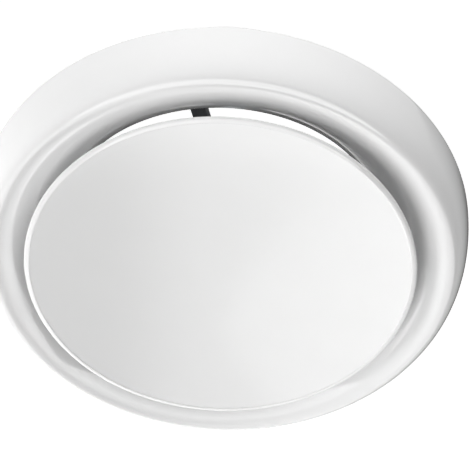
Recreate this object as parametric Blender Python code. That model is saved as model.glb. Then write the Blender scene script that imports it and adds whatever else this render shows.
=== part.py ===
# Ventilation disc valve for a round duct: a drawn steel ring, an adjustable dished disc on a
# threaded spindle, and the bridge, lock nut and spring clips behind them.
import math

import bmesh
import bpy
import numpy as np
from mathutils import Matrix

# Fits and sheet thicknesses
GAP = 0.0003
RING_SHEET = 0.0009
DISC_SHEET = 0.0008
BRIDGE_SHEET = 0.0015
CUP_SHEET = 0.0012
CLIP_SHEET = 0.0006

# Foam gasket at the wall
GASKET_THICK = 0.0025
GASKET_WIDTH = 0.0038
GASKET_INSET = 0.0030

# Ring, with its heights measured outwards from the back face of its hem
THROAT_RADIUS = 0.0550
FACE_WIDTH = 0.0290
HEM_WIDTH = 0.0075
HEM_CORNER = 0.0012
BULGE_WIDTH = 0.0075
CREST_HEIGHT = 0.02128
BULGE_POWER = 2.12
THROAT_HEIGHT = 0.0012
THROAT_PULL = 0.30
CREST_PULL = 0.27
NECK_END = -0.0390

# Disc
DISC_OVERLAP = 0.01063
RIM_ABOVE_CREST = 0.00118
RIM_BEAD = 0.0015
RIM_CREASE = 0.0009
CREASE_DROP = 0.00045
DISH_RADIUS = 0.590
RIM_START = 128.0
CURL_TURN = 273.0

# Hub cup behind the disc
CUP_FLANGE_RADIUS = 0.0240
CUP_WALL_RADIUS = 0.0150
CUP_FLOOR_RADIUS = 0.0125
CUP_DEPTH = 0.0058
CUP_BEND = 0.0012

# Spindle and its nuts
SPINDLE_RADIUS = 0.0040
HEX_FLATS = 0.0130
HEAD_THICK = 0.0045
NUT_THICK = 0.0065
NUT_FACE_INSET = 0.0003
NUT_CHAMFER_ANGLE = 30.0
NUT_CHAMFER_SEGMENTS = 36
TAIL_CHAMFER = 0.0010
TAIL_PAST_GROOVE = 0.0016
GROOVE_RADIUS = 0.0032

# Bridge across the neck
BRIDGE_ANGLE = 16.9
BRIDGE_FRONT = -0.0187
ARM_HALF_WIDTH = 0.0025
FOOT_HALF_WIDTH = 0.0045
PAD_RADIUS = 0.0095
BRIDGE_BEND = 0.0030
FOOT_STANDOFF = 0.0006
FOOT_LENGTH = 0.0135
FOOT_FLARE = 0.0030
FOOT_FLARE_END = 0.0010
FLANGE_DEPTH = 0.0040
FLANGE_SHEET = 0.0012
FLANGE_INSET = 0.0001
FLANGE_FROM_PAD = 0.0020
FLANGE_FROM_FOOT = 0.0074

# Threaded bush in the bridge
BUSH_BODY_RADIUS = 0.0055
BUSH_FLANGE_RADIUS = 0.0078
BUSH_CLINCH_RADIUS = 0.0069
BUSH_CLINCH_THICK = 0.0010
BUSH_CLINCH_SLOPE = 0.0006
BUSH_FLANGE_THICK = 0.0015
BUSH_TAIL = 0.0075

# Lock washer, stop washer and retaining ring
LOCK_WASHER_RADIUS = 0.0072
LOCK_WASHER_THICK = 0.0018
LOCK_WASHER_SPLIT = 8.0
LOCK_WASHER_SLANT = 5.0
STOP_WASHER_RADIUS = 0.0070
STOP_WASHER_THICK = 0.0020
STOP_WASHER_TRAVEL = 0.0134
RETAINER_RADIUS = 0.0060
RETAINER_THICK = 0.0010
RETAINER_OPENING = 70.0

# Spring clips and rivets
CLIP_ANGLES = (73.1, 193.1, 313.1)
CLIP_TIP_INSET = 0.0022
CLIP_TIP_LENGTH = 0.0023
CLIP_BOW_LENGTH = 0.0195
CLIP_FOOT_HALF = 0.0050
CLIP_BOW = 0.0062
CLIP_BOW_POWER = 1.3
CLIP_HALF_WIDTH = 0.0050
CLIP_TOP_HALF_WIDTH = 0.00375
CLIP_TIP_HALF_WIDTH = 0.0035
CLIP_TIP_CURL = 0.0016
FOOT_RIVET_DEPTH = 0.0083
RIVET_SHANK = 0.0016
RIVET_HEAD = 0.0032
RIVET_HEAD_THICK = 0.0010
RIVET_DOME = 3
RIVET_BULB = 0.0026
RIVET_BULB_TIP = 0.0018
RIVET_BULB_THICK = 0.0015

# Points along each section, and segments round each kind of piece
RING_FACE_POINTS = 18
RIM_POINTS = 11
DISH_POINTS = 5
RING_SEGMENTS = 64
SHAFT_SEGMENTS = 32
RIVET_SEGMENTS = 12
CUP_SEGMENTS = 40
RETAINER_STEPS = 20
LOCK_WASHER_STEPS = 28

# How far a cutter runs past the sheet that it goes through
CUT_MARGIN = 0.0040

# Values that follow from the ones above
RING_BACK = GASKET_THICK + GAP
RING_RADIUS = THROAT_RADIUS + FACE_WIDTH
HEM_INNER = RING_RADIUS - HEM_WIDTH
CREST_RADIUS = RING_RADIUS - BULGE_WIDTH
NECK_OUTER = THROAT_RADIUS + RING_SHEET
GASKET_OUTER = RING_RADIUS - GASKET_INSET
DISC_RADIUS = THROAT_RADIUS + DISC_OVERLAP
RIM_HEIGHT = RING_BACK + CREST_HEIGHT + RIM_ABOVE_CREST
BORE_RADIUS = SPINDLE_RADIUS + GAP
HOLE_RADIUS = RIVET_SHANK + GAP
FOOT_REACH = THROAT_RADIUS - FOOT_STANDOFF
BRIDGE_RIVET_HEIGHT = BRIDGE_FRONT - FOOT_RIVET_DEPTH
BUSH_HOLE_RADIUS = BUSH_BODY_RADIUS + GAP
BUSH_END = BRIDGE_FRONT - BRIDGE_SHEET - BUSH_TAIL
LOCK_NUT_HIGH = BUSH_END - LOCK_WASHER_THICK - 2 * GAP
STOP_WASHER_FRONT = LOCK_NUT_HIGH - NUT_THICK - STOP_WASHER_TRAVEL
CLIP_TIP = NECK_END + CLIP_TIP_INSET
CLIP_BOW_END = CLIP_TIP + CLIP_TIP_LENGTH
CLIP_BOW_START = CLIP_BOW_END + CLIP_BOW_LENGTH
CLIP_RIVET_HEIGHT = CLIP_BOW_START + CLIP_FOOT_HALF
CLIP_FRONT = CLIP_RIVET_HEIGHT + CLIP_FOOT_HALF
HALF_TURN = math.pi


def clear_scene():
    for old in list(bpy.data.objects):
        bpy.data.objects.remove(old, do_unlink=True)


def finish(name, colour, roughness, metallic):
    material = bpy.data.materials.new(name)
    material.use_nodes = True
    shader = material.node_tree.nodes["Principled BSDF"]
    shader.inputs["Base Color"].default_value = (*colour, 1.0)
    shader.inputs["Roughness"].default_value = roughness
    shader.inputs["Metallic"].default_value = metallic
    material.diffuse_color = (*colour, 1.0)
    return material


def place(name, shape, material, sharp_angle=35.0):
    """Turn the valve's axis from +Z to -Y, and make the object."""
    bmesh.ops.transform(shape, matrix=Matrix.Rotation(HALF_TURN / 2, 4, "X"), verts=shape.verts)
    mesh = bpy.data.meshes.new(name)
    shape.to_mesh(mesh)
    shape.free()
    mesh.materials.append(material)
    piece = bpy.data.objects.new(name, mesh)
    bpy.context.scene.collection.objects.link(piece)
    mesh.shade_smooth()
    mesh.set_sharp_from_angle(angle=math.radians(sharp_angle))
    return piece


def even_points(curve, count):
    """Thin a dense curve to a few points, closer together where it turns."""
    curve = np.array(curve)
    steps = np.diff(curve, axis=0)
    lengths = np.hypot(steps[:, 0], steps[:, 1])
    headings = np.unwrap(np.arctan2(steps[:, 1], steps[:, 0]))
    turns = np.abs(np.gradient(headings))
    shares = lengths / lengths.sum() + 2.0 * turns / max(turns.sum(), 1e-9)
    marks = np.concatenate([[0.0], np.cumsum(shares)])
    wanted = np.linspace(0.0, marks[-1], count)
    return [(np.interp(m, marks, curve[:, 0]), np.interp(m, marks, curve[:, 1])) for m in wanted]


def offset_left(path, distance):
    """Move each corner of a path to its left, so that the wall keeps its thickness."""
    path = np.array(path)
    steps = np.diff(path, axis=0)
    steps = steps / np.hypot(steps[:, 0], steps[:, 1])[:, None]
    left = np.column_stack([-steps[:, 1], steps[:, 0]])
    before = np.vstack([left[:1], left])
    after = np.vstack([left, left[-1:]])
    mitre = before + after
    mitre = mitre / np.sum(mitre * before, axis=1)[:, None]
    return path + mitre * distance


def arc(centre, radius, start, stop, count):
    angles = np.radians(np.linspace(start, stop, count))
    return [(centre[0] + radius * math.cos(a), centre[1] + radius * math.sin(a)) for a in angles]


def revolve(loop, segments, closed=True):
    """Turn a section, given as radius and height, once round the axis."""
    shape = bmesh.new()
    corners = [shape.verts.new((r, 0.0, z)) for r, z in loop]
    pairs = list(zip(corners, corners[1:]))
    if closed:
        pairs.append((corners[-1], corners[0]))
    edges = [shape.edges.new(pair) for pair in pairs]
    bmesh.ops.spin(
        shape,
        geom=corners + edges,
        axis=(0, 0, 1),
        cent=(0, 0, 0),
        angle=2 * HALF_TURN,
        steps=segments,
        use_merge=True,
    )
    bmesh.ops.remove_doubles(shape, verts=shape.verts, dist=1e-6)
    bmesh.ops.recalc_face_normals(shape, faces=shape.faces)
    return shape


def prism(outline, low, high):
    """A plate with the given outline between two heights."""
    shape = bmesh.new()
    corners = [shape.verts.new((x, y, low)) for x, y in outline]
    floor = shape.faces.new(corners)
    grown = bmesh.ops.extrude_face_region(shape, geom=[floor])
    moved = [v for v in grown["geom"] if isinstance(v, bmesh.types.BMVert)]
    bmesh.ops.translate(shape, verts=moved, vec=(0, 0, high - low))
    bmesh.ops.recalc_face_normals(shape, faces=shape.faces)
    return shape


def hexagon(flats):
    corner = flats / math.sqrt(3.0)
    return [
        (corner * math.cos(math.radians(60 * k)), corner * math.sin(math.radians(60 * k)))
        for k in range(6)
    ]


def strip(path, half_widths, thickness):
    """A bent sheet strip: its path is in the XZ plane and its width along Y."""
    inner = offset_left(path, thickness)
    shape = bmesh.new()
    rows = []
    for (x, z), (xi, zi), half in zip(path, inner, half_widths):
        corners = ((x, half, z), (x, -half, z), (xi, -half, zi), (xi, half, zi))
        rows.append([shape.verts.new(corner) for corner in corners])
    for row, following in zip(rows, rows[1:]):
        for k in range(4):
            after = (k + 1) % 4
            shape.faces.new((row[k], row[after], following[after], following[k]))
    shape.faces.new(rows[0])
    shape.faces.new(rows[-1])
    bmesh.ops.recalc_face_normals(shape, faces=shape.faces)
    return shape


def turned(shape, degrees):
    """Turn a shape about the valve's axis, from +Z towards +X as seen from the room."""
    spin = Matrix.Rotation(math.radians(-degrees), 4, "Z")
    bmesh.ops.transform(shape, matrix=spin, verts=shape.verts)
    return shape


def helper(name, shape):
    """A hidden cutter or addition, used by a Boolean."""
    piece = place(name, shape, WHITE_COAT)
    piece.hide_render = True
    piece.display_type = "WIRE"
    return piece


def combine(piece, other, operation):
    step = piece.modifiers.new(f"{operation.lower()} {other.name}", "BOOLEAN")
    step.operation = operation
    step.solver = "EXACT"
    step.object = other


def plug(radius, low, high, segments):
    """A round plug on the valve's axis, for a hole."""
    return revolve([(0.0, low), (radius, low), (radius, high), (0.0, high)], segments, False)


def neck_hole(height, degrees):
    """A plug along the radius, for a rivet's hole through the neck and what lies against it."""
    start = THROAT_RADIUS - CUT_MARGIN
    stop = NECK_OUTER + CUT_MARGIN
    return lay_on_radius(plug(HOLE_RADIUS, start, stop, RIVET_SEGMENTS), height, degrees)


def lay_on_radius(shape, height, degrees):
    """Lay a shape made along +Z on the radius at this height and angle."""
    lay = Matrix.Rotation(-HALF_TURN / 2, 4, "X")
    bmesh.ops.transform(shape, matrix=lay, verts=shape.verts)
    bmesh.ops.translate(shape, verts=shape.verts, vec=(0, 0, height))
    return turned(shape, degrees)


def ring_section():
    """The ring's sheet, from the hem round the bulge, over the crest and down the throat."""
    wall_start = RING_BACK + HEM_CORNER
    corner = arc((RING_RADIUS - HEM_CORNER, wall_start), HEM_CORNER, -90, 0, 4)
    bulge = []
    for k in np.radians(np.linspace(0, 90, 60)):
        out = math.cos(k) ** (2.0 / BULGE_POWER) if math.cos(k) > 1e-9 else 0.0
        up = math.sin(k) ** (2.0 / BULGE_POWER)
        bulge.append(
            (CREST_RADIUS + (RING_RADIUS - CREST_RADIUS) * out, RING_BACK + CREST_HEIGHT * up)
        )
    bulge = [point for point in bulge if point[1] > wall_start + HEM_CORNER]
    crest = np.array((CREST_RADIUS, RING_BACK + CREST_HEIGHT))
    throat = np.array((THROAT_RADIUS, RING_BACK + THROAT_HEIGHT))
    rise = crest[1] - throat[1]
    reach = crest[0] - throat[0]
    crest_handle = crest - np.array((CREST_PULL * reach, 0.0))
    throat_handle = throat + np.array((0.0, THROAT_PULL * rise))
    mouth = []
    for s in np.linspace(0, 1, 60)[1:]:
        point = (
            (1 - s) ** 3 * crest
            + 3 * (1 - s) ** 2 * s * crest_handle
            + 3 * (1 - s) * s * s * throat_handle
            + s**3 * throat
        )
        mouth.append(tuple(point))
    face = even_points(bulge + mouth, RING_FACE_POINTS)
    return [(HEM_INNER, RING_BACK)] + corner + face + [(THROAT_RADIUS, NECK_END)]


def dish_height(radius):
    """Height of the disc's hollow face at this radius."""
    inner = DISC_RADIUS - 2 * RIM_BEAD - RIM_CREASE
    edge = RIM_HEIGHT + RIM_BEAD - CREASE_DROP
    return edge - (inner**2 - radius**2) / (2 * DISH_RADIUS)


def disc_section():
    """The disc's sheet, from its middle over the raised rim and round the rolled edge."""
    inner = DISC_RADIUS - 2 * RIM_BEAD - RIM_CREASE
    dish = [(r, dish_height(r)) for r in np.linspace(0.0, inner, DISH_POINTS)]
    bead_centre = (DISC_RADIUS - RIM_BEAD, RIM_HEIGHT)
    bead = arc(bead_centre, RIM_BEAD, RIM_START, RIM_START - CURL_TURN, RIM_POINTS)
    return dish + bead


def sheet_loop(path, thickness):
    return list(path) + [tuple(p) for p in offset_left(path, thickness)[::-1]]


def build_ring():
    loop = sheet_loop(ring_section(), RING_SHEET)
    ring = place("valve_ring", revolve(loop, RING_SEGMENTS), WHITE_COAT)
    for degrees in CLIP_ANGLES:
        hole = neck_hole(CLIP_RIVET_HEIGHT, degrees)
        combine(ring, helper(f"clip_hole_{degrees:.0f}", hole), "DIFFERENCE")
    for degrees in (-BRIDGE_ANGLE, 180 - BRIDGE_ANGLE):
        hole = neck_hole(BRIDGE_RIVET_HEIGHT, degrees)
        combine(ring, helper(f"foot_hole_{degrees:.0f}", hole), "DIFFERENCE")


def build_gasket():
    inner = GASKET_OUTER - GASKET_WIDTH
    loop = [
        (inner, 0.0),
        (GASKET_OUTER, 0.0),
        (GASKET_OUTER, GASKET_THICK),
        (inner, GASKET_THICK),
    ]
    place("wall_gasket", revolve(loop, RING_SEGMENTS), FOAM)


def build_disc():
    path = disc_section()
    under = [tuple(p) for p in offset_left(path[::-1], DISC_SHEET)][::-1]
    under[0] = (0.0, under[0][1])
    loop = path + under[::-1]
    place("valve_disc", revolve(loop, RING_SEGMENTS, closed=False), WHITE_COAT)


def cup_top(radius):
    return dish_height(radius) - DISC_SHEET - GAP


def build_cup():
    seat = cup_top(CUP_WALL_RADIUS)
    floor = seat - CUP_DEPTH
    path = [
        (CUP_FLANGE_RADIUS, cup_top(CUP_FLANGE_RADIUS)),
        (CUP_WALL_RADIUS + CUP_BEND, cup_top(CUP_WALL_RADIUS + CUP_BEND)),
        (CUP_WALL_RADIUS, seat - CUP_BEND),
        (CUP_FLOOR_RADIUS, floor + CUP_BEND),
        (CUP_FLOOR_RADIUS - CUP_BEND, floor),
        (BORE_RADIUS, floor),
    ]
    loop = sheet_loop(path, CUP_SHEET)
    place("hub_cup", revolve(loop, CUP_SEGMENTS), ZINC)
    return floor


def hex_piece(name, low, high, bore, material):
    """A hexagon with both faces chamfered to a circle, bored if it is a nut."""
    shape = prism(hexagon(HEX_FLATS), low, high)
    piece = place(name, shape, material, 20.0)
    corner = HEX_FLATS / math.sqrt(3.0)
    face = HEX_FLATS / 2 - NUT_FACE_INSET
    wide = corner + NUT_FACE_INSET
    slope = (wide - face) * math.tan(math.radians(NUT_CHAMFER_ANGLE))
    barrel = [
        (0.0, low),
        (face, low),
        (wide, low + slope),
        (wide, high - slope),
        (face, high),
        (0.0, high),
    ]
    combine(piece, helper(f"{name}_chamfer", revolve(barrel, NUT_CHAMFER_SEGMENTS, False)), "INTERSECT")
    if bore:
        core = plug(bore, low - CUT_MARGIN, high + CUT_MARGIN, SHAFT_SEGMENTS)
        combine(piece, helper(f"{name}_bore", core), "DIFFERENCE")
    return piece


def build_spindle(cup_floor):
    """Shaft and hexagon head in one; the head stands on the cup's floor."""
    head_low = cup_floor + GAP
    head_high = head_low + HEAD_THICK
    groove_high = STOP_WASHER_FRONT - STOP_WASHER_THICK
    groove_low = groove_high - RETAINER_THICK - 2 * GAP
    end = groove_low - TAIL_PAST_GROOVE
    section = [
        (0.0, head_low + HEAD_THICK / 2),
        (SPINDLE_RADIUS, head_low + HEAD_THICK / 2),
        (SPINDLE_RADIUS, groove_high),
        (GROOVE_RADIUS, groove_high),
        (GROOVE_RADIUS, groove_low),
        (SPINDLE_RADIUS, groove_low),
        (SPINDLE_RADIUS, end + TAIL_CHAMFER),
        (SPINDLE_RADIUS - TAIL_CHAMFER, end),
        (0.0, end),
    ]
    spindle = hex_piece("spindle", head_low, head_high, 0.0, ZINC)
    combine(spindle, helper("spindle_shaft", revolve(section, SHAFT_SEGMENTS, False)), "UNION")
    nut_high = cup_floor - CUP_SHEET - GAP
    hex_piece("hub_nut", nut_high - NUT_THICK, nut_high, BORE_RADIUS, ZINC)


def open_ring(inner, outer, opening, slant, low, high, count):
    """A flat ring with a gap; slant turns one face's gap against the other's."""
    shape = bmesh.new()
    rows = []
    for share in np.linspace(0, 1, count):
        row = []
        for z, lean in ((low, -slant), (high, slant)):
            a = math.radians(opening / 2 + lean + share * (360 - opening))
            for r in (inner, outer):
                row.append(shape.verts.new((r * math.cos(a), r * math.sin(a), z)))
        rows.append([row[0], row[1], row[3], row[2]])
    for row, following in zip(rows, rows[1:]):
        for k in range(4):
            after = (k + 1) % 4
            shape.faces.new((row[k], row[after], following[after], following[k]))
    shape.faces.new(rows[0])
    shape.faces.new(rows[-1])
    bmesh.ops.recalc_face_normals(shape, faces=shape.faces)
    return shape


def build_lock():
    washer_high = BUSH_END - GAP
    washer_low = washer_high - LOCK_WASHER_THICK
    washer = open_ring(
        BORE_RADIUS,
        LOCK_WASHER_RADIUS,
        LOCK_WASHER_SPLIT,
        LOCK_WASHER_SLANT,
        washer_low,
        washer_high,
        LOCK_WASHER_STEPS,
    )
    place("lock_washer", washer, SPRING_STEEL)
    hex_piece("lock_nut", LOCK_NUT_HIGH - NUT_THICK, LOCK_NUT_HIGH, BORE_RADIUS, ZINC)


def build_stop():
    low = STOP_WASHER_FRONT - STOP_WASHER_THICK
    loop = [
        (BORE_RADIUS, low),
        (STOP_WASHER_RADIUS, low),
        (STOP_WASHER_RADIUS, STOP_WASHER_FRONT),
        (BORE_RADIUS, STOP_WASHER_FRONT),
    ]
    place("stop_washer", revolve(loop, SHAFT_SEGMENTS), NYLON)
    high = low - GAP
    ring = open_ring(
        GROOVE_RADIUS + GAP,
        RETAINER_RADIUS,
        RETAINER_OPENING,
        0.0,
        high - RETAINER_THICK,
        high,
        RETAINER_STEPS,
    )
    place("retaining_ring", ring, SPRING_STEEL)


def build_bush():
    front = BRIDGE_FRONT + GAP
    back = BRIDGE_FRONT - BRIDGE_SHEET - GAP
    loop = [
        (BORE_RADIUS, front + BUSH_FLANGE_THICK),
        (BUSH_FLANGE_RADIUS, front + BUSH_FLANGE_THICK),
        (BUSH_FLANGE_RADIUS, front),
        (BUSH_BODY_RADIUS, front),
        (BUSH_BODY_RADIUS, back),
        (BUSH_CLINCH_RADIUS, back),
        (BUSH_CLINCH_RADIUS, back - BUSH_CLINCH_THICK),
        (BUSH_BODY_RADIUS, back - BUSH_CLINCH_THICK - BUSH_CLINCH_SLOPE),
        (BUSH_BODY_RADIUS, BUSH_END),
        (BORE_RADIUS, BUSH_END),
    ]
    place("threaded_bush", revolve(loop, SHAFT_SEGMENTS), ZINC)


def bridge_half_width(along):
    """The strip's half width: a round pad in the middle, slim arms, wider feet."""
    along = abs(along)
    if along < PAD_RADIUS:
        return max(math.sqrt(PAD_RADIUS**2 - along**2), ARM_HALF_WIDTH)
    foot_start = FOOT_REACH - BRIDGE_BEND - FOOT_FLARE_END - FOOT_FLARE
    blend = min(max((along - foot_start) / FOOT_FLARE, 0.0), 1.0)
    return ARM_HALF_WIDTH + (FOOT_HALF_WIDTH - ARM_HALF_WIDTH) * blend


def build_bridge():
    bend_start = FOOT_REACH - BRIDGE_BEND
    pad_turn = math.degrees(math.acos(ARM_HALF_WIDTH / PAD_RADIUS))
    pad = [PAD_RADIUS * math.sin(math.radians(a)) for a in np.linspace(-pad_turn, pad_turn, 15)]
    flare_end = bend_start - FOOT_FLARE_END
    flange_start = PAD_RADIUS + FLANGE_FROM_PAD
    flange_stop = FOOT_REACH - FLANGE_FROM_FOOT
    arms = [PAD_RADIUS + ARM_HALF_WIDTH / 2, flange_stop / 2, flare_end - FOOT_FLARE, flare_end]
    middle = [-u for u in reversed(arms)] + pad + arms
    foot_end = BRIDGE_FRONT - FOOT_LENGTH
    right = arc((bend_start, BRIDGE_FRONT - BRIDGE_BEND), BRIDGE_BEND, 90, 0, 5)
    left = [(-x, z) for x, z in reversed(right)]
    path = [(-FOOT_REACH, foot_end)] + left + [(u, BRIDGE_FRONT) for u in middle]
    path += right + [(FOOT_REACH, foot_end)]
    widths = [bridge_half_width(x) for x, _ in path]
    shape = strip([(-x, z) for x, z in path], widths, BRIDGE_SHEET)
    turn_to_arm = 90 - (-BRIDGE_ANGLE)
    piece = place("bridge", turned(shape, -turn_to_arm), DARK_ZINC)
    low = BRIDGE_FRONT - BRIDGE_SHEET - FLANGE_DEPTH
    high = BRIDGE_FRONT - BRIDGE_SHEET / 2
    for side in (-1, 1):
        for edge in (-1, 1):
            near = edge * (ARM_HALF_WIDTH - FLANGE_INSET)
            far = edge * (ARM_HALF_WIDTH - FLANGE_INSET - FLANGE_SHEET)
            outline = [
                (side * flange_start, near),
                (side * flange_stop, near),
                (side * flange_stop, far),
                (side * flange_start, far),
            ]
            rib = turned(prism(outline, low, high), -turn_to_arm)
            name = f"arm_flange_{'out' if side > 0 else 'in'}_{'a' if edge > 0 else 'b'}"
            combine(piece, helper(name, rib), "UNION")
    back = BRIDGE_FRONT - BRIDGE_SHEET - CUT_MARGIN
    core = plug(BUSH_HOLE_RADIUS, back, BRIDGE_FRONT + CUT_MARGIN, SHAFT_SEGMENTS)
    combine(piece, helper("bush_hole", core), "DIFFERENCE")
    for degrees in (-BRIDGE_ANGLE, 180 - BRIDGE_ANGLE):
        hole = neck_hole(BRIDGE_RIVET_HEIGHT, degrees)
        combine(piece, helper(f"rivet_hole_{degrees:.0f}", hole), "DIFFERENCE")


def build_rivet(name, head_seat, bulb_seat, height, degrees):
    """A set blind rivet: low domed head outside, drawn bulb inside."""
    head = head_seat + GAP
    bulb = bulb_seat - GAP
    turns = np.radians(np.linspace(0, 90, RIVET_DOME + 1))[:-1]
    dome = [(RIVET_HEAD * math.cos(a), head + RIVET_HEAD_THICK * math.sin(a)) for a in turns]
    section = [
        (0.0, bulb - RIVET_BULB_THICK),
        (RIVET_BULB_TIP, bulb - RIVET_BULB_THICK),
        (RIVET_BULB, bulb - RIVET_BULB_THICK / 2),
        (RIVET_BULB, bulb),
        (RIVET_SHANK, bulb),
        (RIVET_SHANK, head),
        *dome,
        (0.0, head + RIVET_HEAD_THICK),
    ]
    shape = lay_on_radius(revolve(section, RIVET_SEGMENTS, False), height, degrees)
    place(name, shape, RIVET_ALLOY)


def clip_section():
    """The clip's inner face: flat foot, bow that grips the duct, and turned-out tip."""
    foot = NECK_OUTER + GAP
    path = [(foot, CLIP_FRONT), (foot, CLIP_RIVET_HEIGHT), (foot, CLIP_BOW_START)]
    for share in np.linspace(0, 1, 11)[1:]:
        rise = math.sin(HALF_TURN * share) ** CLIP_BOW_POWER if share < 1 else 0.0
        z = CLIP_BOW_START + (CLIP_BOW_END - CLIP_BOW_START) * share
        path.append((foot + CLIP_BOW * rise, z))
    path.append((foot + CLIP_TIP_CURL, CLIP_TIP))
    return path


def build_clips():
    path = clip_section()
    widths = [CLIP_HALF_WIDTH] * len(path)
    widths[0] = CLIP_TOP_HALF_WIDTH
    widths[-1] = CLIP_TIP_HALF_WIDTH
    for letter, degrees in zip("abc", CLIP_ANGLES):
        shape = strip(path, widths, CLIP_SHEET)
        clip = place(f"spring_clip_{letter}", turned(shape, degrees - 90), SPRING_STEEL)
        hole = neck_hole(CLIP_RIVET_HEIGHT, degrees)
        combine(clip, helper(f"spring_hole_{letter}", hole), "DIFFERENCE")
        outer = NECK_OUTER + GAP + CLIP_SHEET
        build_rivet(f"clip_rivet_{letter}", outer, THROAT_RADIUS, CLIP_RIVET_HEIGHT, degrees)


def build_bridge_rivets():
    inner = FOOT_REACH - BRIDGE_SHEET
    for name, degrees in (("upper", -BRIDGE_ANGLE), ("lower", 180 - BRIDGE_ANGLE)):
        build_rivet(f"bridge_rivet_{name}", NECK_OUTER, inner, BRIDGE_RIVET_HEIGHT, degrees)


clear_scene()
WHITE_COAT = finish("white_powder_coat", (0.86, 0.87, 0.87), 0.22, 0.0)
FOAM = finish("grey_foam", (0.10, 0.10, 0.11), 0.95, 0.0)
ZINC = finish("bright_zinc", (0.62, 0.64, 0.66), 0.32, 1.0)
DARK_ZINC = finish("dark_zinc", (0.20, 0.20, 0.21), 0.45, 0.9)
SPRING_STEEL = finish("spring_steel", (0.38, 0.38, 0.39), 0.35, 1.0)
RIVET_ALLOY = finish("rivet_alloy", (0.72, 0.73, 0.74), 0.38, 1.0)
NYLON = finish("natural_nylon", (0.80, 0.78, 0.70), 0.50, 0.0)

build_ring()
build_gasket()
build_disc()
build_spindle(build_cup())
build_bridge()
build_bush()
build_bridge_rivets()
build_lock()
build_stop()
build_clips()
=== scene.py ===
import math

import bmesh
import bpy
import numpy as np
from mathutils import Matrix, Vector


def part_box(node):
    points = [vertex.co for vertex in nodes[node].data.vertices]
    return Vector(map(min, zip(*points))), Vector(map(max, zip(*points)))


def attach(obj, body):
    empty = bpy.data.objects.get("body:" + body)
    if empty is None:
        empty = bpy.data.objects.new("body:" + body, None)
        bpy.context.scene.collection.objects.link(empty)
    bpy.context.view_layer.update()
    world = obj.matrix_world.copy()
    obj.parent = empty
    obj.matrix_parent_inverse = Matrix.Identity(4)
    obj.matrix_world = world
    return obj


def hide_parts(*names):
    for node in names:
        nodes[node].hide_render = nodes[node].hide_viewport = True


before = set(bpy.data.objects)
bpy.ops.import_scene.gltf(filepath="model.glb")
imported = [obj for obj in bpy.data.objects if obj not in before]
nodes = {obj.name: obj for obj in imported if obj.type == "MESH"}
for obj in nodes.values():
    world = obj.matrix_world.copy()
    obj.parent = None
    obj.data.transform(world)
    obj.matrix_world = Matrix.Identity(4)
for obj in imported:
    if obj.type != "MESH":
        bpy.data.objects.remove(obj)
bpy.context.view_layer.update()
print("frame loaded:", len(nodes), "nodes")

mm = 0.001


# Materials

def srgb(code):
    # a hex colour from a screen to linear light
    parts = [int(code[i:i + 2], 16) / 255 for i in (1, 3, 5)]
    return [p / 12.92 if p <= 0.04045 else ((p + 0.055) / 1.055) ** 2.4 for p in parts] + [1.0]


def addNode(tree, kind, values=None, links=None, **settings):
    # adds one node: values and links go by socket name or number, settings are the node's own options
    node = tree.nodes.new(kind)
    for key, value in settings.items():
        setattr(node, key, value)
    for key, value in (values or {}).items():
        node.inputs[key].default_value = value
    for key, source in (links or {}).items():
        tree.links.new(source, node.inputs[key])
    return node


def newMaterial(name, **sockets):
    # a Principled material; uniform values sit on the shader's own sockets
    material = bpy.data.materials.new(name)
    material.use_nodes = True
    shader = material.node_tree.nodes["Principled BSDF"]
    for key, value in sockets.items():
        shader.inputs[key.replace("_", " ")].default_value = value
    return material, material.node_tree, shader


def perMetre(sizeMm):
    # texture scale for a pattern whose features are this many millimetres apart
    return 1000 / sizeMm


def powderCoat():
    # Gloss white polyester powder baked on drawn steel: an even neutral white, wet-looking, with a
    # faint orange peel that breaks up the edges of reflections.
    look = {"white": "#F4F4F4", "cloudWhite": "#F1F1F1", "cloudMm": 22, "peelMm": 2.6, "peelDepth": 0.006 * mm,
            "fineMm": 0.5, "fineDepth": 0.0012 * mm, "gloss": 0.075, "glossSpread": 0.03}
    material, tree, shader = newMaterial("glossWhitePowderCoat", IOR=1.52)
    coords = addNode(tree, "ShaderNodeTexCoord")
    peel = addNode(tree, "ShaderNodeTexNoise", {"Scale": perMetre(look["peelMm"]), "Detail": 1.5},
                   {"Vector": coords.outputs["Object"]})
    fine = addNode(tree, "ShaderNodeTexNoise", {"Scale": perMetre(look["fineMm"]), "Detail": 2.0},
                   {"Vector": coords.outputs["Object"]})
    cloud = addNode(tree, "ShaderNodeTexNoise", {"Scale": perMetre(look["cloudMm"]), "Detail": 3.0},
                    {"Vector": coords.outputs["Object"]})
    gloss = addNode(tree, "ShaderNodeMapRange",
                    {"To Min": look["gloss"] - look["glossSpread"] / 2,
                     "To Max": look["gloss"] + look["glossSpread"] / 2},
                    {"Value": cloud.outputs["Fac"]})
    tint = addNode(tree, "ShaderNodeMix", {"A": srgb(look["white"]), "B": srgb(look["cloudWhite"])},
                   {"Factor": cloud.outputs["Fac"]}, data_type="RGBA")
    tree.links.new(tint.outputs["Result"], shader.inputs["Base Color"])
    tree.links.new(gloss.outputs["Result"], shader.inputs["Roughness"])
    coarseBump = addNode(tree, "ShaderNodeBump", {"Distance": look["peelDepth"], "Strength": 1.0},
                         {"Height": peel.outputs["Fac"]})
    fineBump = addNode(tree, "ShaderNodeBump", {"Distance": look["fineDepth"], "Strength": 1.0},
                       {"Height": fine.outputs["Fac"], "Normal": coarseBump.outputs["Normal"]})
    tree.links.new(fineBump.outputs["Normal"], shader.inputs["Normal"])
    return material


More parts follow.
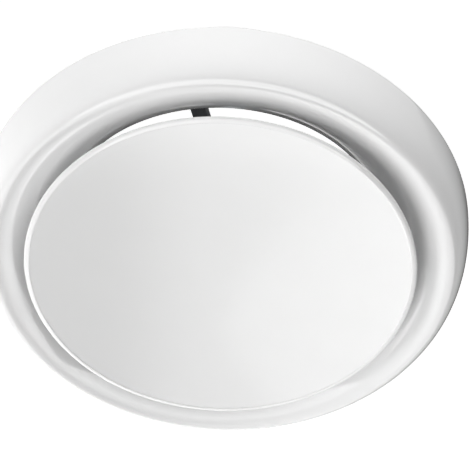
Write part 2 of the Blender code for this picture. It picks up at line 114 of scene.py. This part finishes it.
def cloudedMetal(name, light, dark, roughness, spread, grainMm, depth, cloudMm=6, metallic=1.0, specular=0.5):
    # A metal with faint clouds and fine tumbling and drawing marks, so its reflections are soft and a
    # little uneven.
    material, tree, shader = newMaterial(name, Metallic=metallic, Specular_IOR_Level=specular)
    coords = addNode(tree, "ShaderNodeTexCoord")
    cloud = addNode(tree, "ShaderNodeTexNoise", {"Scale": perMetre(cloudMm), "Detail": 4.0, "Roughness": 0.6},
                    {"Vector": coords.outputs["Object"]})
    grain = addNode(tree, "ShaderNodeTexNoise", {"Scale": perMetre(grainMm), "Detail": 3.0},
                    {"Vector": coords.outputs["Object"]})
    tint = addNode(tree, "ShaderNodeMix", {"A": srgb(light), "B": srgb(dark)},
                   {"Factor": cloud.outputs["Fac"]}, data_type="RGBA")
    gloss = addNode(tree, "ShaderNodeMapRange", {"To Min": roughness - spread, "To Max": roughness + spread},
                    {"Value": grain.outputs["Fac"]})
    bump = addNode(tree, "ShaderNodeBump", {"Distance": depth, "Strength": 1.0}, {"Height": grain.outputs["Fac"]})
    tree.links.new(tint.outputs["Result"], shader.inputs["Base Color"])
    tree.links.new(gloss.outputs["Result"], shader.inputs["Roughness"])
    tree.links.new(bump.outputs["Normal"], shader.inputs["Normal"])
    return material


def closedCellFoam():
    # Dark grey closed-cell polyethylene foam tape: matt, with small burst cells on its skin.
    look = {"dark": "#2B2B2D", "pale": "#3C3C3F", "cellMm": 0.7, "depth": 0.12 * mm}
    material, tree, shader = newMaterial("closedCellFoam", Roughness=0.92)
    shader.inputs["Specular IOR Level"].default_value = 0.25
    coords = addNode(tree, "ShaderNodeTexCoord")
    cells = addNode(tree, "ShaderNodeTexVoronoi", {"Scale": perMetre(look["cellMm"])},
                    {"Vector": coords.outputs["Object"]}, feature="F1")
    tint = addNode(tree, "ShaderNodeMix", {"A": srgb(look["pale"]), "B": srgb(look["dark"])},
                   {"Factor": cells.outputs["Distance"]}, data_type="RGBA")
    bump = addNode(tree, "ShaderNodeBump", {"Distance": look["depth"], "Strength": 0.7},
                   {"Height": cells.outputs["Distance"]})
    tree.links.new(tint.outputs["Result"], shader.inputs["Base Color"])
    tree.links.new(bump.outputs["Normal"], shader.inputs["Normal"])
    return material


def naturalNylon():
    # Moulded natural nylon: milky, slightly waxy, with a fine matt mould texture.
    look = {"pale": "#E9E5D6", "warm": "#DCD7C5", "grainMm": 0.4, "depth": 0.01 * mm, "milk": 0.15,
            "milkReach": (1.2 * mm, 1.0 * mm, 0.7 * mm)}
    material, tree, shader = newMaterial("mouldedNaturalNylon", IOR=1.53, Roughness=0.42)
    shader.inputs["Subsurface Weight"].default_value = look["milk"]
    shader.inputs["Subsurface Radius"].default_value = look["milkReach"]
    shader.inputs["Subsurface Scale"].default_value = 1.0
    coords = addNode(tree, "ShaderNodeTexCoord")
    grain = addNode(tree, "ShaderNodeTexNoise", {"Scale": perMetre(look["grainMm"]), "Detail": 3.0},
                    {"Vector": coords.outputs["Object"]})
    tint = addNode(tree, "ShaderNodeMix", {"A": srgb(look["pale"]), "B": srgb(look["warm"])},
                   {"Factor": grain.outputs["Fac"]}, data_type="RGBA")
    bump = addNode(tree, "ShaderNodeBump", {"Distance": look["depth"], "Strength": 1.0},
                   {"Height": grain.outputs["Fac"]})
    tree.links.new(tint.outputs["Result"], shader.inputs["Base Color"])
    tree.links.new(bump.outputs["Normal"], shader.inputs["Normal"])
    return material


whiteCoat = powderCoat()
# bright zinc plate, clear passivated: cool, light and mirror-like with a soft edge to its reflections
brightZinc = cloudedMetal("brightZincPlate", light="#D3D7DA", dark="#B9BEC3", roughness=0.30, spread=0.06,
                          grainMm=0.35, depth=0.004 * mm)
# zinc coloured dark grey as painted shade for the bridge, which sits in shadow inside the throat: nearly matt, with
# little of the metal's own mirror left
shadeDarkZinc = cloudedMetal("zincDarkenedAsShade", light="#66676A", dark="#505153", roughness=0.58, spread=0.06,
                        grainMm=0.5, depth=0.006 * mm, metallic=0.2, specular=0.2)
# rolled and tempered spring strip: darker than the plate and as smooth
springSteel = cloudedMetal("temperedSpringSteel", light="#A3A6A9", dark="#85888C", roughness=0.30, spread=0.05,
                           grainMm=0.3, depth=0.003 * mm)
# cold-headed aluminium rivets: pale, with a soft shine
rivetAlloy = cloudedMetal("plainAluminium", light="#DADCDE", dark="#C6C9CC", roughness=0.34, spread=0.05,
                          grainMm=0.4, depth=0.004 * mm)
foam = closedCellFoam()
nylon = naturalNylon()
print("materials made")


# Helpers for surfaces worked out with numpy

def arcPoints(centre, radius, start, stop, count):
    # points round a circle: centre + radius (cos a, sin a), a in degrees from start to stop
    a = np.radians(np.linspace(start, stop, count))
    return np.column_stack([centre[0] + radius * np.cos(a), centre[1] + radius * np.sin(a)])


def leftOf(path, distance):
    # moves each point of a path to its left along the mitre of its two neighbouring edges
    steps = np.diff(path, axis=0)
    steps = steps / np.hypot(steps[:, 0], steps[:, 1])[:, None]
    left = np.column_stack([-steps[:, 1], steps[:, 0]])
    before = np.vstack([left[:1], left])
    after = np.vstack([left, left[-1:]])
    mitre = before + after
    return path + mitre / np.sum(mitre * before, axis=1)[:, None] * distance


def roundEdge(start, stop, hand, count=5):
    # points between start and stop on a half circle; hand 1 bulges to the right of that step, -1 to its left
    middle = (start + stop) / 2
    arm = start - middle
    side = hand * np.array([-arm[1], arm[0]])
    turns = np.linspace(0, math.pi, count + 2)[1:-1]
    return middle + np.outer(np.cos(turns), arm) + np.outer(np.sin(turns), side)


def sheetLoop(path, thickness, roundStart=True):
    # the closed section of a sheet: its face, a half-round cut edge, its back and the other cut edge
    hand = math.copysign(1, thickness)
    back = leftOf(path, thickness)[::-1]
    parts = [path, roundEdge(path[-1], back[0], hand), back]
    if roundStart:
        parts.append(roundEdge(back[-1], path[0], hand))
    return np.vstack(parts)


def spinLoop(name, loop, segments, material, sharp=40):
    # a section (radius, height) turned round the valve's axis: x = r sin a, y = -height, z = r cos a
    a = np.linspace(0, 2 * math.pi, segments, endpoint=False)
    radius, height = loop[:, 0], loop[:, 1]
    points = np.stack([np.outer(np.sin(a), radius), np.tile(-height, (segments, 1)),
                       np.outer(np.cos(a), radius)], axis=-1)
    count = len(loop)
    here = np.arange(segments)[:, None] * count + np.arange(count)[None, :]
    right = np.roll(here, -1, axis=0)
    quads = np.stack([here, np.roll(here, -1, axis=1), np.roll(right, -1, axis=1), right], axis=-1)
    return meshPiece(name, points.reshape(-1, 3), quads.reshape(-1, 4), material, sharp)


def meshPiece(name, points, faces, material, sharp=40):
    # a mesh object at the origin with its doubles merged and its faces outwards
    mesh = bpy.data.meshes.new(name)
    mesh.from_pydata(points.tolist(), [], faces.tolist())
    work = bmesh.new()
    work.from_mesh(mesh)
    bmesh.ops.remove_doubles(work, verts=work.verts, dist=1e-7)
    bmesh.ops.dissolve_degenerate(work, edges=work.edges, dist=1e-8)
    bmesh.ops.recalc_face_normals(work, faces=work.faces)
    work.to_mesh(mesh)
    work.free()
    mesh.shade_smooth()
    mesh.set_sharp_from_angle(angle=math.radians(sharp))
    mesh.materials.append(material)
    piece = bpy.data.objects.new(name, mesh)
    bpy.context.scene.collection.objects.link(piece)
    return piece


# The drawn ring: hem, bulge, bell mouth and neck in one sheet

ring = {"outer": 84.0 * mm, "sheet": 0.9 * mm, "hemWidth": 7.5 * mm, "hemCorner": 1.2 * mm, "bulgeWidth": 7.5 * mm,
        "bulgePower": 2.12, "crest": 21.28 * mm, "throat": 55.0 * mm, "throatHeight": 1.2 * mm, "crestPull": 0.42,
        "throatPull": 0.27, "back": 2.8 * mm, "facePoints": 90, "segments": 256}


def ringPath():
    # hem flange, a quarter-round corner, a superellipse bulge ((x/a)^n + (z/b)^n = 1) up to the crest, a
    # Bezier curve down the bell mouth and the straight neck
    crestRadius = ring["outer"] - ring["bulgeWidth"]
    neckEnd = -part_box("valve_ring")[1].y + ring["sheet"] / 2
    cornerCentre = (ring["outer"] - ring["hemCorner"], ring["back"] + ring["hemCorner"])
    corner = arcPoints(cornerCentre, ring["hemCorner"], -90, 0, 8)
    k = np.radians(np.linspace(0, 90, 200))
    power = 2 / ring["bulgePower"]
    bulge = np.column_stack([crestRadius + ring["bulgeWidth"] * np.clip(np.cos(k), 0, 1) ** power,
                             ring["back"] + ring["crest"] * np.sin(k) ** power])
    bulge = bulge[bulge[:, 1] > ring["back"] + 2 * ring["hemCorner"]]
    crest = np.array([crestRadius, ring["back"] + ring["crest"]])
    throat = np.array([ring["throat"], ring["back"] + ring["throatHeight"]])
    crestHandle = crest - [ring["crestPull"] * (crest[0] - throat[0]), 0]
    throatHandle = throat + [0, ring["throatPull"] * (crest[1] - throat[1])]
    s = np.linspace(0, 1, 200)[1:, None]
    mouth = ((1 - s) ** 3 * crest + 3 * (1 - s) ** 2 * s * crestHandle
             + 3 * (1 - s) * s ** 2 * throatHandle + s ** 3 * throat)
    face = evenPath(np.vstack([bulge, mouth]), ring["facePoints"])
    hem = np.array([[ring["outer"] - ring["hemWidth"] + ring["sheet"] / 2, ring["back"]]])
    neck = np.column_stack([np.full(6, ring["throat"]), np.linspace(throat[1], neckEnd, 7)[1:]])
    return np.vstack([hem, corner, face, neck])


def evenPath(path, count, bendWeight=1.5):
    # picks points along a dense path, closer together where it turns: equal steps of length / whole length
    # plus bendWeight x turn / whole turn
    steps = np.diff(path, axis=0)
    lengths = np.hypot(steps[:, 0], steps[:, 1])
    headings = np.unwrap(np.arctan2(steps[:, 1], steps[:, 0]))
    turns = np.abs(np.gradient(headings))
    marks = np.concatenate([[0], np.cumsum(lengths / lengths.sum() + bendWeight * turns / turns.sum())])
    wanted = np.linspace(0, marks[-1], count)
    return np.column_stack([np.interp(wanted, marks, path[:, 0]), np.interp(wanted, marks, path[:, 1])])


ringPiece = spinLoop("drawnRing", sheetLoop(ringPath(), ring["sheet"]), ring["segments"], whiteCoat)
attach(ringPiece, "housing")
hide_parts("valve_ring")
print("ring made")


# The dished disc with its rolled rim

disc = {"radius": 65.63 * mm, "sheet": 0.8 * mm, "top": 26.72 * mm, "middleHeight": 23.08 * mm,
        "dishRadius": 590 * mm, "rollWidth": 1.75 * mm, "rollDepth": 0.95 * mm, "rollStart": 86, "rollEnd": -176,
        "stepWidth": 0.3 * mm, "backGap": 0.1 * mm, "segments": 256}


def dishHeight(radius):
    # a shallow dish of a large sphere: height rises with the square of the radius
    return disc["middleHeight"] + radius ** 2 / (2 * disc["dishRadius"])


def rollPoints(start, stop, count):
    # an ellipse, wider than it is deep, swept by its angle: the edge of the sheet rolled shut
    s = np.radians(np.linspace(start, stop, count))
    return np.column_stack([disc["radius"] + disc["rollWidth"] * (np.cos(s) - 1),
                            disc["top"] + disc["rollDepth"] * (np.sin(s) - 1)])


def discLoop():
    # the dish's face up to a crisp crease, a small step, the rolled edge right round, and the dish's back again
    roll = rollPoints(disc["rollStart"], disc["rollEnd"], 56)
    creaseRadius = roll[0, 0] - disc["stepWidth"]
    low = dishHeight(creaseRadius)
    s = np.radians(np.linspace(0, 90, 7))[:-1]
    step = np.column_stack([roll[0, 0] - disc["stepWidth"] * np.cos(s), low + (roll[0, 1] - low) * np.sin(s)])
    face = np.linspace(0, creaseRadius, 28)[:-1]
    back = np.linspace(roll[-1, 0] - disc["backGap"], 0, 28)
    return np.vstack([np.column_stack([face, dishHeight(face)]), step, roll,
                      np.column_stack([back, dishHeight(back) - disc["sheet"]])])


discPiece = spinLoop("dishedDisc", discLoop(), disc["segments"], whiteCoat, sharp=22)
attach(discPiece, "disc_unit")
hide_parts("valve_disc")
print("disc made")


# The hub cup pressed from sheet, behind the disc

cup = {"flange": 24.0 * mm, "wall": 15.0 * mm, "floor": 12.5 * mm, "bore": 4.3 * mm, "depth": 5.8 * mm,
       "sheet": 1.2 * mm, "bend": 1.8 * mm, "gap": 0.3 * mm, "segments": 128}


def roundCorners(points, size, count=7):
    # rounds each inner corner of a path with a parabola that touches both edges
    points = np.array(points)
    parts = [points[:1]]
    s = np.linspace(0, 1, count)[:, None]
    for before, corner, after in zip(points, points[1:], points[2:]):
        start = corner + (before - corner) * min(0.5, size / np.linalg.norm(before - corner))
        stop = corner + (after - corner) * min(0.5, size / np.linalg.norm(after - corner))
        parts.append((1 - s) ** 2 * start + 2 * (1 - s) * s * corner + s ** 2 * stop)
    return np.vstack(parts + [points[-1:]])


def cupPath():
    # from the bore along the cup's floor, up its slanting wall and out along the flange on the disc's back
    seat = dishHeight(cup["wall"]) - disc["sheet"] - cup["gap"]
    lip = dishHeight(cup["flange"]) - disc["sheet"] - cup["gap"]
    corners = [(cup["bore"], seat - cup["depth"]), (cup["floor"], seat - cup["depth"]),
               (cup["wall"], seat), (cup["flange"], lip)]
    return roundCorners(corners, cup["bend"])


cupPiece = spinLoop("pressedHubCup", sheetLoop(cupPath(), -cup["sheet"]), cup["segments"], brightZinc)
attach(cupPiece, "disc_unit")
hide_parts("hub_cup")
print("hub cup made")


# The spindle: a long set screw with a thread you can see, a hexagon head and a grooved tail

# threadDepth is in pitches; the threaded rod starts inside the head and ends inside the plain tail
screw = {"radius": 4.0 * mm, "pitch": 1.25 * mm, "threadDepth": 0.6134, "threadEnd": 50.8 * mm, "intoHead": 1.5 * mm,
         "flats": 13.0 * mm, "head": 4.5 * mm, "faceInset": 0.3 * mm, "tailStart": 49.6 * mm, "tailCore": 3.1 * mm,
         "tailEdge": 0.3 * mm, "tailChamfer": 1.0 * mm, "groove": 3.2 * mm, "grooveStart": 52.0 * mm,
         "grooveEnd": 53.6 * mm, "segments": 40, "tailSegments": 64}


def turned(radius, y, a):
    # points at a radius and height round the valve's axis
    return np.stack([radius * np.sin(a), y + 0 * a, radius * np.cos(a)], axis=-1)


def hexHead(low, high, segments=96):
    # a hexagon's edge radius is (flats / 2) / cos(angle from the nearest flat); both faces are cut back by a
    # 30 degree cone
    a = np.linspace(0, 2 * math.pi, segments, endpoint=False)[:, None]
    edge = screw["flats"] / 2 / np.cos((a + math.pi / 6) % (math.pi / 3) - math.pi / 6)
    face = screw["flats"] / 2 - screw["faceInset"] + 0 * a
    cut = (edge - face) * math.tan(math.pi / 6)
    radius = np.hstack([0 * a, face, edge, edge, face, 0 * a])
    y = np.hstack([low + 0 * a, low + 0 * a, low + cut, high - cut, high + 0 * a, high + 0 * a])
    points = turned(radius, y, a + 0 * radius).reshape(-1, 3)
    here = np.arange(segments)[:, None] * 6 + np.arange(5)
    right = np.roll(here, -1, axis=0)
    return points, np.stack([here, here + 1, right + 1, right], axis=-1).reshape(-1, 4)


def threadedRod(low, high):
    # four points of a 60 degree thread (root, crest, crest, root) carried along a helix that rises one pitch a
    # turn; the ends are cut back by a 45 degree cone and closed
    count, pitch = screw["segments"], screw["pitch"]
    root = screw["radius"] - screw["threadDepth"] * pitch
    turns = math.ceil((high - low) / pitch) + 1
    step = np.arange((turns + 1) * count + 1)[:, None]
    y = np.clip(low - pitch + pitch * step / count + pitch * np.array([0, 5, 7, 12]) / 16, low, high)
    cone = root - 0.1 * mm + np.minimum(y - low, high - y)
    radius = np.minimum([root, screw["radius"], screw["radius"], root], cone)
    a = 2 * math.pi * step / count + 0 * y
    rod = turned(radius, y, a).reshape(-1, 3)
    grid = np.arange(len(step) * 4).reshape(-1, 4)
    here = np.hstack([grid[:turns * count], grid[count:(turns + 1) * count, :1]])
    right = np.hstack([grid[1:turns * count + 1], grid[count + 1:(turns + 1) * count + 1, :1]])
    side = np.stack([here[:, :-1], here[:, 1:], right[:, 1:], right[:, :-1]], axis=-1).reshape(-1, 4)
    poles = np.repeat([[0, low, 0], [0, high, 0]], count + 1, axis=0)
    near, far = len(rod) + np.arange(count), len(rod) + count + 1 + np.arange(count)
    first, last = grid[:count + 1, 0], grid[turns * count:(turns + 1) * count + 1, 0]
    caps = [np.stack([pole, pole + 1, edge[1:], edge[:-1]], axis=-1) for pole, edge in ((near, first), (far, last))]
    return np.vstack([rod, poles]), np.vstack([side] + caps)


def tailEnd(low, high):
    # the plain end with the groove for the retaining ring: one section, turned
    r, g, edge, chamfer = screw["radius"], screw["groove"], screw["tailEdge"], screw["tailChamfer"]
    section = np.array([(0, low), (screw["tailCore"], low), (r - edge, low), (r, low + edge),
                        (r, screw["grooveStart"]), (g, screw["grooveStart"]), (g, screw["grooveEnd"]),
                        (r, screw["grooveEnd"]), (r, high - chamfer), (r - chamfer, high), (0, high)])
    a = np.linspace(0, 2 * math.pi, screw["tailSegments"], endpoint=False)[:, None]
    points = turned(section[:, 0] + 0 * a, section[:, 1] + 0 * a, a + 0 * section[:, 0]).reshape(-1, 3)
    here = np.arange(screw["tailSegments"])[:, None] * len(section) + np.arange(len(section) - 1)
    right = np.roll(here, -1, axis=0)
    return points, np.stack([here, here + 1, right + 1, right], axis=-1).reshape(-1, 4)


def stacked(*surfaces):
    # several closed surfaces as one list of points and one of faces
    starts = np.cumsum([0] + [len(points) for points, faces in surfaces[:-1]])
    return (np.vstack([points for points, faces in surfaces]),
            np.vstack([faces + start for (points, faces), start in zip(surfaces, starts)]))


headFront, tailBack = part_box("spindle")[0].y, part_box("spindle")[1].y
headBack = headFront + screw["head"]
points, faces = stacked(hexHead(headFront, headBack),
                        threadedRod(headBack - screw["intoHead"], screw["threadEnd"]),
                        tailEnd(screw["tailStart"], tailBack))
screwPiece = meshPiece("threadedSpindle", points, faces, brightZinc, sharp=28)
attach(screwPiece, "disc_unit")
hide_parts("spindle")
print("spindle made")


# The foam gasket tape behind the hem

tape = {"outer": 81.0 * mm, "width": 3.8 * mm, "thick": 2.5 * mm, "corner": 0.5 * mm, "segments": 192}
inner, corner = tape["outer"] - tape["width"], tape["corner"]
tapeLoop = np.vstack([arcPoints((r, h), corner, start, start + 90, 6) for r, h, start in (
    (inner + corner, corner, 180), (tape["outer"] - corner, corner, 270),
    (tape["outer"] - corner, tape["thick"] - corner, 0), (inner + corner, tape["thick"] - corner, 90))])
tapePiece = spinLoop("gasketTape", tapeLoop, tape["segments"], foam)
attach(tapePiece, "housing")
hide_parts("wall_gasket")
print("gasket made")


# Finishes of the pieces that keep their own shape

finishes = {
    # the bridge's dark grey finish is painted shade for the shadow it sits in
    "bridge": shadeDarkZinc, "threaded_bush": brightZinc, "hub_nut": brightZinc, "lock_nut": brightZinc,
    "lock_washer": springSteel, "retaining_ring": springSteel, "stop_washer": nylon,
    "spring_clip_a": springSteel, "spring_clip_b": springSteel, "spring_clip_c": springSteel,
    "bridge_rivet_upper": rivetAlloy, "bridge_rivet_lower": rivetAlloy,
    "clip_rivet_a": rivetAlloy, "clip_rivet_b": rivetAlloy, "clip_rivet_c": rivetAlloy,
    # these five are hidden by the pieces above, and keep the same finish under them
    "valve_ring": whiteCoat, "valve_disc": whiteCoat, "hub_cup": brightZinc, "spindle": brightZinc,
    "wall_gasket": foam,
}
for nodeName, finish in finishes.items():
    for slot in nodes[nodeName].material_slots:
        slot.material = finish
print("finishes set")


# Camera, light and floor

view = {"distance": 600 * mm, "elevation": 40.54, "roll": 3.13, "lens": 133.43, "shiftX": 0.0268,
        "shiftY": -0.0113, "clipStart": 20 * mm}
aim = Vector((0, -ring["back"], 0))
rise = math.radians(view["elevation"])
eye = aim + view["distance"] * Vector((0, -math.cos(rise), math.sin(rise)))
camera = bpy.data.objects.new("camera", bpy.data.cameras.new("camera"))
camera.data.lens = view["lens"]
camera.data.shift_x = view["shiftX"]
camera.data.shift_y = view["shiftY"]
camera.data.clip_start = view["clipStart"]
look = (aim - eye).to_track_quat("-Z", "Y").to_matrix().to_4x4()
camera.matrix_world = Matrix.Translation(eye) @ look @ Matrix.Rotation(math.radians(view["roll"]), 4, "Z")
bpy.context.scene.collection.objects.link(camera)
bpy.context.scene.camera = camera

studio = {
    "world": 0.15, "centre": (0, -15 * mm, 0), "distance": 1.2,
    # each softbox: its angle off the valve's axis, its turn from the top towards the right, its size, its radiance
    "softboxes": {
        "front": (25, 240, 0.8, 1.2), "lowLeftKey": (45, 225, 0.8, 2.5), "topRightKey": (62, 30, 0.8, 2.86),
        "lowLeftSide": (62, 210, 0.8, 1.73), "lowSide": (78, 210, 0.8, 2.73), "leftSide": (78, 240, 0.8, 2.22),
        "topRim": (94, 0, 0.8, 1.5), "leftRim": (94, 240, 0.8, 3.1), "topLeftRim": (94, 330, 0.8, 3.2),
        "lowRim": (97, 205, 0.4, 7.0), "lowLeftRim": (97, 235, 0.4, 5.0), "back": (150, 0, 0.7, 0.8),
        "backTop": (112, 350, 0.5, 3.4),
    },
    # scrims are seen in the gloss only, as broad soft reflections
    "scrims": {"frontScrim": (2, 0, 1.3, 4.5), "cornerScrim": (56, 150, 1.0, 2.4), "lowScrim": (42, 212, 0.8, 2.2)},
    # panels low in front of the disc, which the dish mirrors: corners in mm, how far each stands in front of the
    # lowest, and its light at places across; discMiddle is where the sight line meets the disc
    "discMiddle": 25.5 * mm, "panelDistance": 200 * mm, "panelReach": 75 * mm,
    "panels": {
        "fadingPanel": ([(-75, -60), (75, -60), (75, 13.3), (-75, 13.3)], 0,
                        [(-30, 0.0), (-10, 1.9), (10, 2.4), (30, 3.1), (50, 3.3)]),
        "upperPanel": ([(-75, 13.3), (75, 13.3), (75, 40), (-75, 40)], 0,
                       [(-50, 0.0), (-30, 1.6), (-10, 3.4), (10, 3.9), (50, 5.0)]),
        "cornerPanel": ([(-0.3, -11), (32.5, -32), (75, -32), (75, 11), (29.2, 11), (11.6, 2.2), (4.7, -3.5)], 0.5,
                        [(0, 3.2), (50, 4.4)]),
    },
    # a dark card low behind the valve, seen only in the gloss and fading to the right: it draws the white edges
    # against white
    "card": {"at": (0.44, 0.66, -0.52), "size": 1.15, "grey": "#101010", "fade": 0.6},
    "floor": {"height": -1.35, "size": 12.0, "grey": "#E4E4E2", "lift": 0.84},
}


def towards(off, turn):
    # a direction from the valve: off its axis, turned from the top towards the right, in degrees
    off, turn = math.radians(off), math.radians(turn)
    return Vector((math.sin(off) * math.sin(turn), -math.cos(off), math.sin(off) * math.cos(turn)))


def addSoftbox(name, off, turn, size, radiance, inGloss):
    # a round lamp that faces the valve; a disc of this radiance gives radiance x pi^2 x its radius squared
    light = bpy.data.lights.new(name, "AREA")
    light.shape = "DISK"
    light.size = size
    light.energy = radiance * math.pi ** 2 * (size / 2) ** 2
    holder = bpy.data.objects.new(name, light)
    away = towards(off, turn)
    holder.matrix_world = (Matrix.Translation(Vector(studio["centre"]) + studio["distance"] * away)
                           @ (-away).to_track_quat("-Z", "Y").to_matrix().to_4x4())
    holder.visible_camera = False
    holder.visible_diffuse = not inGloss
    holder.visible_glossy = inGloss
    bpy.context.scene.collection.objects.link(holder)


for name, values in studio["softboxes"].items():
    addSoftbox(name, *values, False)
for name, values in studio["scrims"].items():
    addSoftbox(name, *values, True)


glossOnly = ("camera", "diffuse", "shadow", "transmission")


def addSheet(name, points, placing, hidden):
    # a flat staged sheet: its corners in its own plane, and the rays that don't see it
    mesh = bpy.data.meshes.new(name)
    mesh.from_pydata([(x, y, 0) for x, y in points], [], [tuple(range(len(points)))])
    sheet = bpy.data.objects.new(name, mesh)
    bpy.context.scene.collection.objects.link(sheet)
    sheet.matrix_world = placing
    for ray in hidden:
        setattr(sheet, "visible_" + ray, False)
    return sheet


def squareOf(size):
    # the corners of a square about the middle
    return [(x * size / 2, y * size / 2) for x, y in ((-1, -1), (1, -1), (1, 1), (-1, 1))]


def addPanel(name, corners, lift, fade):
    # a panel seen only in the gloss; its light goes from place to place across as the stops of a ramp
    material = bpy.data.materials.new(name)
    material.use_nodes = True
    tree = material.node_tree
    tree.nodes.clear()
    reach, most = studio["panelReach"], max(light for place, light in fade)
    coords = addNode(tree, "ShaderNodeTexCoord")
    axes = addNode(tree, "ShaderNodeSeparateXYZ", {}, {"Vector": coords.outputs["Object"]})
    across = addNode(tree, "ShaderNodeMapRange", {"From Min": -reach, "From Max": reach},
                     {"Value": axes.outputs["X"]})
    stops = addNode(tree, "ShaderNodeValToRGB", {}, {"Fac": across.outputs["Result"]})
    for place, light in fade:
        stop = stops.color_ramp.elements.new(0.5 + place * mm / (2 * reach))
        stop.color = [light / most] * 3 + [1]
    stops.color_ramp.elements.remove(stops.color_ramp.elements[-1])
    stops.color_ramp.elements.remove(stops.color_ramp.elements[0])
    glow = addNode(tree, "ShaderNodeEmission", {"Strength": most}, {"Color": stops.outputs["Color"]})
    addNode(tree, "ShaderNodeOutputMaterial", {}, {"Surface": glow.outputs["Emission"]})
    middle = Vector((0, -studio["discMiddle"], 0))
    sight = (middle - eye).normalized()
    mirrored = Vector((sight.x, -sight.y, sight.z))
    side = Vector((1, 0, 0))
    up = mirrored.cross(side).normalized()
    placing = (Matrix.Translation(middle + (studio["panelDistance"] - lift * mm) * mirrored)
               @ Matrix((side, up, side.cross(up))).transposed().to_4x4())
    addSheet(name, [(x * mm, y * mm) for x, y in corners], placing, glossOnly).data.materials.append(material)


for name, values in studio["panels"].items():
    addPanel(name, *values)


def fadingCard():
    # black felt that thins out to nothing towards the card's right edge
    card = studio["card"]
    material, tree, shader = newMaterial("blackFelt", Base_Color=srgb(card["grey"]), Roughness=1.0)
    coords = addNode(tree, "ShaderNodeTexCoord")
    axes = addNode(tree, "ShaderNodeSeparateXYZ", {}, {"Vector": coords.outputs["Object"]})
    edge = -card["size"] / 2
    weight = addNode(tree, "ShaderNodeMapRange", {"From Min": edge, "From Max": edge + card["fade"]},
                     {"Value": axes.outputs["X"]})
    clear = addNode(tree, "ShaderNodeBsdfTransparent")
    mixed = addNode(tree, "ShaderNodeMixShader", {},
                    {0: weight.outputs["Result"], 1: clear.outputs[0], 2: shader.outputs[0]})
    tree.links.new(mixed.outputs[0], tree.nodes["Material Output"].inputs["Surface"])
    behind = Vector(card["at"])
    placing = Matrix.Translation(behind) @ behind.to_track_quat("Z", "Y").to_matrix().to_4x4()
    addSheet("darkCard", squareOf(card["size"]), placing, glossOnly).data.materials.append(material)


fadingCard()


def seenRays(tree):
    # 1 for rays of the camera, of gloss and through glass, and 0 for the light that falls on things
    rays = addNode(tree, "ShaderNodeLightPath")
    seen = rays.outputs["Is Camera Ray"]
    for kind in ("Is Glossy Ray", "Is Transmission Ray"):
        seen = addNode(tree, "ShaderNodeMath", {}, {0: seen, 1: rays.outputs[kind]}, operation="MAXIMUM").outputs[0]
    return seen


def paleFloor():
    # A matt pale grey floor. Its light for the camera and for reflections is lifted to white, and the
    # shadow that falls on it stays.
    material, tree, shader = newMaterial("mattPaleFloor", Base_Color=srgb(studio["floor"]["grey"]), Roughness=0.9)
    lift = addNode(tree, "ShaderNodeMath", {1: studio["floor"]["lift"]}, {0: seenRays(tree)}, operation="MULTIPLY")
    shader.inputs["Emission Color"].default_value = (1, 1, 1, 1)
    tree.links.new(lift.outputs[0], shader.inputs["Emission Strength"])
    return material


floor = addSheet("floor", squareOf(studio["floor"]["size"]),
                 Matrix.Translation((0, 0, studio["floor"]["height"])), ())
floor.data.materials.append(paleFloor())

world = bpy.data.worlds.new("paleStudio")
bpy.context.scene.world = world
world.use_nodes = True
tree = world.node_tree
tree.nodes.clear()
soft = addNode(tree, "ShaderNodeBackground", {"Color": (1, 1, 1, 1), "Strength": studio["world"]})
white = addNode(tree, "ShaderNodeBackground", {"Color": (1, 1, 1, 1), "Strength": 1.0})
mixed = addNode(tree, "ShaderNodeMixShader", {}, {0: seenRays(tree), 1: soft.outputs[0], 2: white.outputs[0]})
addNode(tree, "ShaderNodeOutputWorld", {}, {"Surface": mixed.outputs[0]})
bpy.context.scene.view_settings.view_transform = "Standard"
print("studio set")
